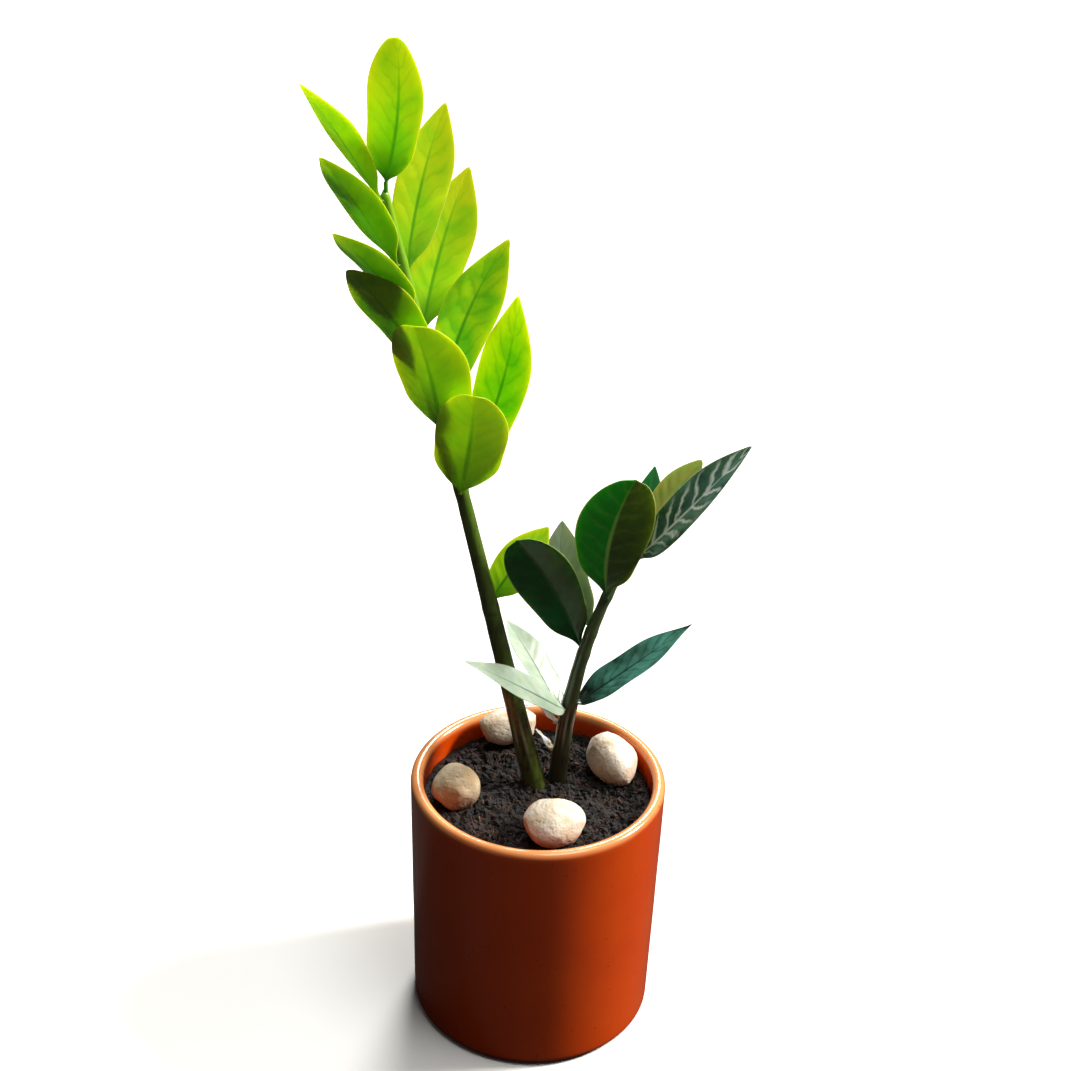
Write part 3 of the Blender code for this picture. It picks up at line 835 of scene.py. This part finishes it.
# %% Leaf finishes
def leaf_skin(
    name,
    blade,
    blotch,
    base,
    vein,
    edge_highlight,
    beneath,
    roughness,
    through,
    base_reach,
    vein_share,
    far=None,
):
    """A waxy leaf. Its hex colours are the blade's, its blotches', near the stalk, the veins', the
    painted highlight along the edge and the lower face's; far is the painted shade of one half, if one half
    is darker."""
    material, tree, shader = new_material(
        name,
        Roughness=roughness,
        IOR=1.45,
        Subsurface_Weight=through,
        Subsurface_Radius=(0.85, 1.0, 0.1),
        Subsurface_Scale=3 * MM,
        Coat_Weight=0.12,
        Coat_Roughness=roughness * 0.6,
    )
    along = add(tree, "ShaderNodeAttribute", attribute_name="along").outputs["Fac"]
    across = add(tree, "ShaderNodeAttribute", attribute_name="across").outputs["Fac"]
    under = add(tree, "ShaderNodeAttribute", attribute_name="under").outputs["Fac"]
    place = add(tree, "ShaderNodeTexCoord").outputs["Object"]
    cloudy = {"Vector": place, "Scale": 1 / (11 * MM), "Detail": 3.0}
    cloud = add(tree, "ShaderNodeTexNoise", cloudy).outputs[0]
    grainy = {"Vector": place, "Scale": 1 / (1.1 * MM), "Detail": 2.0}
    grain = add(tree, "ShaderNodeTexNoise", grainy).outputs[0]
    aside = add(tree, "ShaderNodeMath", {0: across}, operation="ABSOLUTE").outputs[0]

    # The blade: blotches, and a deeper colour that spreads from the stalk.
    patch = add(tree, "ShaderNodeMapRange", {0: cloud, 1: 0.38, 2: 0.66}).outputs[0]
    strayed = {0: cloud, 1: 0.35, 2: along}
    wander = add(tree, "ShaderNodeMath", strayed, operation="MULTIPLY_ADD").outputs[0]
    near = add(
        tree,
        "ShaderNodeMapRange",
        {0: wander, 1: 0.1, 2: base_reach + 0.17, 3: 1.0, 4: 0.0},
        interpolation_type="SMOOTHSTEP",
    ).outputs[0]

    # The side veins: evenly spaced along the blade, swept to the tip, fading before the edge.
    lean = add(tree, "ShaderNodeMath", {0: aside, 1: -VEIN_LEAN}, operation="MULTIPLY").outputs[0]
    spaced = {0: along, 1: VEIN_PAIRS, 2: lean}
    count = add(tree, "ShaderNodeMath", spaced, operation="MULTIPLY_ADD").outputs[0]
    bent = add(tree, "ShaderNodeMath", {0: cloud, 1: 1.9, 2: count}, operation="MULTIPLY_ADD").outputs[0]
    phase = add(tree, "ShaderNodeMath", {0: bent}, operation="FRACT").outputs[0]
    off = add(tree, "ShaderNodeMath", {0: phase, 1: 0.5}, operation="SUBTRACT").outputs[0]
    gap = add(tree, "ShaderNodeMath", {0: off}, operation="ABSOLUTE").outputs[0]
    line_share = {0: gap, 1: 0.0, 2: 0.2, 3: vein_share, 4: 0.0}
    streak = add(tree, "ShaderNodeMapRange", line_share).outputs[0]
    fade = add(tree, "ShaderNodeMapRange", {0: aside, 1: 0.55, 2: 0.95, 3: 1.0, 4: 0.0}).outputs[0]
    streak = add(tree, "ShaderNodeMath", {0: streak, 1: fade}, operation="MULTIPLY").outputs[0]

    # The midrib: wide at the stalk, thin and faint at the tip.
    rib_width = add(tree, "ShaderNodeMapRange", {0: along, 3: 0.13, 4: 0.03}).outputs[0]
    rib_place = add(tree, "ShaderNodeMath", {0: aside, 1: rib_width}, operation="DIVIDE").outputs[0]
    rib = add(tree, "ShaderNodeMapRange", {0: rib_place, 1: 0.3, 2: 1.0, 3: 0.85, 4: 0.0}).outputs[0]
    towards_tip = {0: along, 1: 0.45, 2: 0.95, 3: 1.0, 4: 0.15}
    rib_fade = add(tree, "ShaderNodeMapRange", towards_tip).outputs[0]
    rib = add(tree, "ShaderNodeMath", {0: rib, 1: rib_fade}, operation="MULTIPLY").outputs[0]

    # The lower face, and a painted highlight: the pale line along the edge, which starts past the stalk.
    below = add(tree, "ShaderNodeMath", {0: under, 1: 0.45}, operation="MULTIPLY").outputs[0]
    rim = add(tree, "ShaderNodeMapRange", {0: aside, 1: 0.965, 2: 0.995, 4: 0.9}).outputs[0]
    past_stalk = add(tree, "ShaderNodeMapRange", {0: along, 1: 0.04, 2: 0.12}).outputs[0]
    rim = add(tree, "ShaderNodeMath", {0: rim, 1: past_stalk}, operation="MULTIPLY").outputs[0]

    layers = [(near, base), (streak, vein), (rib, vein), (below, beneath), (rim, edge_highlight)]
    if far:
        # painted shade: one half of the blade is darker, as if turned away from the light
        shaded = add(tree, "ShaderNodeMapRange", {0: across, 1: 0.02, 2: -0.02}).outputs[0]
        layers.insert(0, (shaded, far))
    colour = layered(tree, blade, [(patch, blotch)] + layers)
    bump = add(tree, "ShaderNodeBump", {"Height": grain, "Strength": 0.12, "Distance": 0.15 * MM})
    tree.links.new(colour, shader.inputs["Base Color"])
    tree.links.new(bump.outputs[0], shader.inputs["Normal"])
    return material


# blade, blotch, base, vein, painted edge highlight, beneath; roughness, light through, reach of
# the base colour, strength of the veins; and the painted shade of one half, where one half is darker
LEAF_SKINS = {
    "young lime leaf": (
        "#CDF01C", "#A4DE16", "#14801A", "#5CA814", "#F8F87E", "#D2E83C", 0.38, 0.9, 0.44, 0.22),
    "fresh green leaf": (
        "#BEEA16", "#7ECA1A", "#08641A", "#2E901A", "#F0F560", "#AADC2A", 0.36, 0.88, 0.5, 0.28),
    "shaded green leaf": (
        "#AEDC1C", "#66AC12", "#123C08", "#2E6E10", "#EEF25A", "#92CA1C", 0.36, 0.7, 0.8, 0.18),
    "round yellow-green leaf": (
        "#C2EC16", "#9EDA12", "#1C640C", "#46961A", "#F4F760", "#C6EA28", 0.36, 0.88, 0.4, 0.2),
    "old black-green leaf": (
        "#064218", "#0A5824", "#03200C", "#125A26", "#B4C890", "#0A3E1A", 0.3, 0.1, 0.3, 0.1),
    "half-lit green leaf": (
        "#0E7E1E", "#128A20", "#0C4A14", "#8EB264", "#CAD8A0", "#1E6018", 0.32, 0.3, 0.3, 0.1,
        "#36481A"),
    "bronze olive leaf": (
        "#86A04A", "#A8A24E", "#4E6A34", "#AEB870", "#DEE0AA", "#7C9450", 0.32, 0.4, 0.3, 0.25),
    # painted reflection: near-white streaks along the quilted veins stand for sky reflected in the glossy
    # blade
    "teal leaf with painted reflection along its veins": (
        "#54806E", "#244C40", "#14382A", "#F0F8F2", "#DCE6DA", "#587464", 0.26, 0.2, 0.25, 0.95),
    # painted highlights: the pale teal blotches on the dark blade stand for glints on a blade seen at a
    # glancing angle
    "dark teal leaf with painted highlights": (
        "#0C3026", "#4C8A7A", "#06180F", "#0A261E", "#9EC0A8", "#1A4036", 0.26, 0.1, 0.3, 0.5),
    # painted glare: these blades are painted pale grey-green, standing for white glare on dark glossy leaves
    "grey-green leaf with painted glare": (
        "#94A692", "#AEBCAA", "#1C4424", "#3E6044", "#64806A", "#74906E", 0.28, 0.2, 0.16, 0.12),
}
skins = {name: leaf_skin(name, *values) for name, values in LEAF_SKINS.items()}

# %% [markdown]
# Which leaflet is which: the main frond's right rank shows its bright upper faces and the
# left rank its lower ones, so those get the shaded finish. The second frond is older.

# %% Place the leaflets
LEAFLETS = {
    "main_leaf_top": "young lime leaf",
    "main_leaf_right_1": "young lime leaf",
    "main_leaf_right_2": "young lime leaf",
    "main_leaf_right_3": "fresh green leaf",
    "main_leaf_right_4": "fresh green leaf",
    "main_leaf_right_5": "round yellow-green leaf",
    "main_leaf_left_1": "round yellow-green leaf",
    "main_leaf_left_2": "shaded green leaf",
    "main_leaf_left_3": "shaded green leaf",
    "main_leaf_left_4": "shaded green leaf",
    "main_leaf_left_5": "round yellow-green leaf",
    "main_leaf_left_6": "round yellow-green leaf",
    "second_leaf_left_1": "grey-green leaf with painted glare",
    "second_leaf_left_2": "old black-green leaf",
    "second_leaf_middle": "half-lit green leaf",
    "second_leaf_back_1": "grey-green leaf with painted glare",
    "second_leaf_back_2": "grey-green leaf with painted glare",
    "second_leaf_back_3": "old black-green leaf",
    "second_leaf_right_1": "dark teal leaf with painted highlights",
    "second_leaf_tip": "bronze olive leaf",
    "second_leaf_right_2": "teal leaf with painted reflection along its veins",
}
BLADE_THICKNESS = 0.95 * MM
RIPPLE = 0.1 * MM  # how high the side veins lift most blades
RIPPLES = {"second_leaf_right_2": 0.32 * MM, "second_leaf_middle": 0.14 * MM}
SHARP_TIP = 0.6  # how far most tips narrow to a point, from 0 to 1
BLUNT_TIPS = {
    "main_leaf_top": 0.25,
    "main_leaf_left_4": 0.35,
    "main_leaf_left_5": 0.1,
    "main_leaf_left_6": 0.2,
    "second_leaf_left_2": 0.0,
    "second_leaf_middle": 0.1,
}
SEED_STEP = 0.618  # near the golden ratio, which keeps the leaflets' waves out of step
joints = {"main_stem": [], "second_stem": []}
for number, (node, skin) in enumerate(LEAFLETS.items()):
    ripple = RIPPLES.get(node, RIPPLE)
    point = BLUNT_TIPS.get(node, SHARP_TIP)
    seed = number * SEED_STEP
    stem, place = make_leaflet(node, skins[skin], BLADE_THICKNESS, ripple, point, seed)
    joints[stem].append(place)
print(len(LEAFLETS), "leaflets; on the stems:", {stem: len(found) for stem, found in joints.items()})

# %% [markdown]
# Two dry sheaths, what is left of the bud's wrapping, cling to the foot of the second stem.
# They are the same kind of blade, paper thin, and painted near white: partly their own pale straw colour,
# partly painted highlight.

# %% Dry sheaths
# near-white colours: partly the dry sheath's own pale straw, partly painted highlight
SHEATH_WITH_HIGHLIGHT = ("#F6F2E6", "#E9E2CC", "#CDBB94", "#D8CBA8", "#FBF8EE", "#EDE6D2", 0.7, 0.3, 0.2, 0.3)
papery = leaf_skin("dry papery sheath with painted highlight", *SHEATH_WITH_HIGHLIGHT)
for number, node in enumerate(("stem_sheath_upper", "stem_sheath_lower")):
    make_leaflet(node, papery, thickness=0.3 * MM, ripple=0.02 * MM, point=0.5, seed=number * 0.5)
print("two sheaths")

# %% [markdown]
# With every joint known, the stems can be made: rings square to the line, a little thicker
# at each joint and at the foot, closed by a rounded tip. The attribute "along" carries the
# share of the height, so that the colour can change from the soil up.

# %% Stem skin
def stem_skin(name, foot, middle, tip, fleck):
    """Waxy stalk: olive flesh with dark flecks and lengthwise streaks, paler towards the tip."""
    material, tree, shader = new_material(
        name,
        Roughness=0.3,
        IOR=1.45,
        Subsurface_Weight=0.1,
        Subsurface_Scale=1 * MM,
        Coat_Weight=0.3,
        Coat_Roughness=0.15,
    )
    along = add(tree, "ShaderNodeAttribute", attribute_name="along").outputs["Fac"]
    place = add(tree, "ShaderNodeTexCoord").outputs["Object"]
    drawn = add(tree, "ShaderNodeMapping", {"Vector": place, "Scale": (1.0, 1.0, 0.12)}).outputs[0]
    streaky = {"Vector": drawn, "Scale": 1 / (1.3 * MM), "Detail": 3.0}
    streaks = add(tree, "ShaderNodeTexNoise", streaky).outputs[0]
    cloudy = {"Vector": place, "Scale": 1 / (5 * MM), "Detail": 4.0}
    cloud = add(tree, "ShaderNodeTexNoise", cloudy).outputs[0]
    low = add(tree, "ShaderNodeMapRange", {0: along, 1: 0.0, 2: 0.45}).outputs[0]
    high = add(tree, "ShaderNodeMapRange", {0: along, 1: 0.4, 2: 0.95}).outputs[0]
    dark = add(tree, "ShaderNodeMapRange", {0: streaks, 1: 0.45, 2: 0.7, 4: 0.6}).outputs[0]
    spots = add(tree, "ShaderNodeMapRange", {0: cloud, 1: 0.55, 2: 0.62, 4: 0.45}).outputs[0]
    fading = add(tree, "ShaderNodeMapRange", {0: along, 1: 0.2, 2: 0.7, 3: 1.0, 4: 0.1}).outputs[0]
    dark = add(tree, "ShaderNodeMath", {0: dark, 1: fading}, operation="MULTIPLY").outputs[0]
    spots = add(tree, "ShaderNodeMath", {0: spots, 1: fading}, operation="MULTIPLY").outputs[0]
    colour = layered(tree, foot, [(low, middle), (high, tip), (dark, fleck), (spots, fleck)])
    bump = add(tree, "ShaderNodeBump", {"Height": streaks, "Strength": 0.25, "Distance": 0.2 * MM})
    tree.links.new(colour, shader.inputs["Base Color"])
    tree.links.new(bump.outputs[0], shader.inputs["Normal"])
    return material


# %% Loft the stems
STEM_SIDES, STEM_RINGS = 40, 150
BELOW_SOIL = 0.06  # the stem goes on below its measured foot by this share of its height
JOINT_SWELLING, JOINT_REACH = 0.22 * MM, 2.2 * MM
FOOT_SWELLING, FOOT_REACH = 0.3 * MM, 9 * MM


def make_stem(stem, material):
    """The stem as one smooth tube, from below the soil to its rounded tip."""
    length = sum((stem_at(stem, (i + 1) / 50)[0] - stem_at(stem, i / 50)[0]).length for i in range(50))
    points = []
    shares = [-BELOW_SOIL + (1 + BELOW_SOIL) * i / (STEM_RINGS - 1) for i in range(STEM_RINGS)]
    for share in shares:
        centre, along, radius = stem_at(stem, share)
        side = along.cross(Vector((0, 1, 0))).normalized()
        other = along.cross(side)
        away = [(share - joint) * length / JOINT_REACH for joint in joints[stem]]
        swelling = sum(math.exp(-(distance**2)) for distance in away)
        flare = math.exp(-max(share, 0) * length / FOOT_REACH)
        radius += JOINT_SWELLING * min(swelling, 1) + FOOT_SWELLING * flare
        left = (1 - share) * length
        if left < radius:
            radius *= math.sqrt(max(1 - (1 - left / radius) ** 2, 0.02))
        for i in range(STEM_SIDES):
            a = 2 * math.pi * i / STEM_SIDES
            outward = side * math.cos(a) + other * math.sin(a)
            uneven = 0.1 * MM * lumps(centre + outward * radius, 6 * MM, 9.0)
            points.append(centre + outward * (radius + uneven))
    along_values = np.repeat(np.clip(shares, 0, 1), STEM_SIDES)
    points += [stem_at(stem, shares[0])[0], stem_at(stem, shares[-1])[0]]
    attributes = {"along": np.concatenate([along_values, [0, 1]])}
    piece = new_piece(stem + "_stalk", points, rings_to_faces(STEM_RINGS, STEM_SIDES), material, attributes)
    stands_for(piece, stem)
    print(stem, round(length / MM), "mm long,", len(piece.data.polygons), "faces")


OLIVE = ("#3C4818", "#4A6020", "#8CC030", "#17130E")
DARK = ("#221F12", "#2E361C", "#55633C", "#0E0B08")
make_stem("main_stem", stem_skin("olive stalk", *OLIVE))
make_stem("second_stem", stem_skin("dark stalk", *DARK))
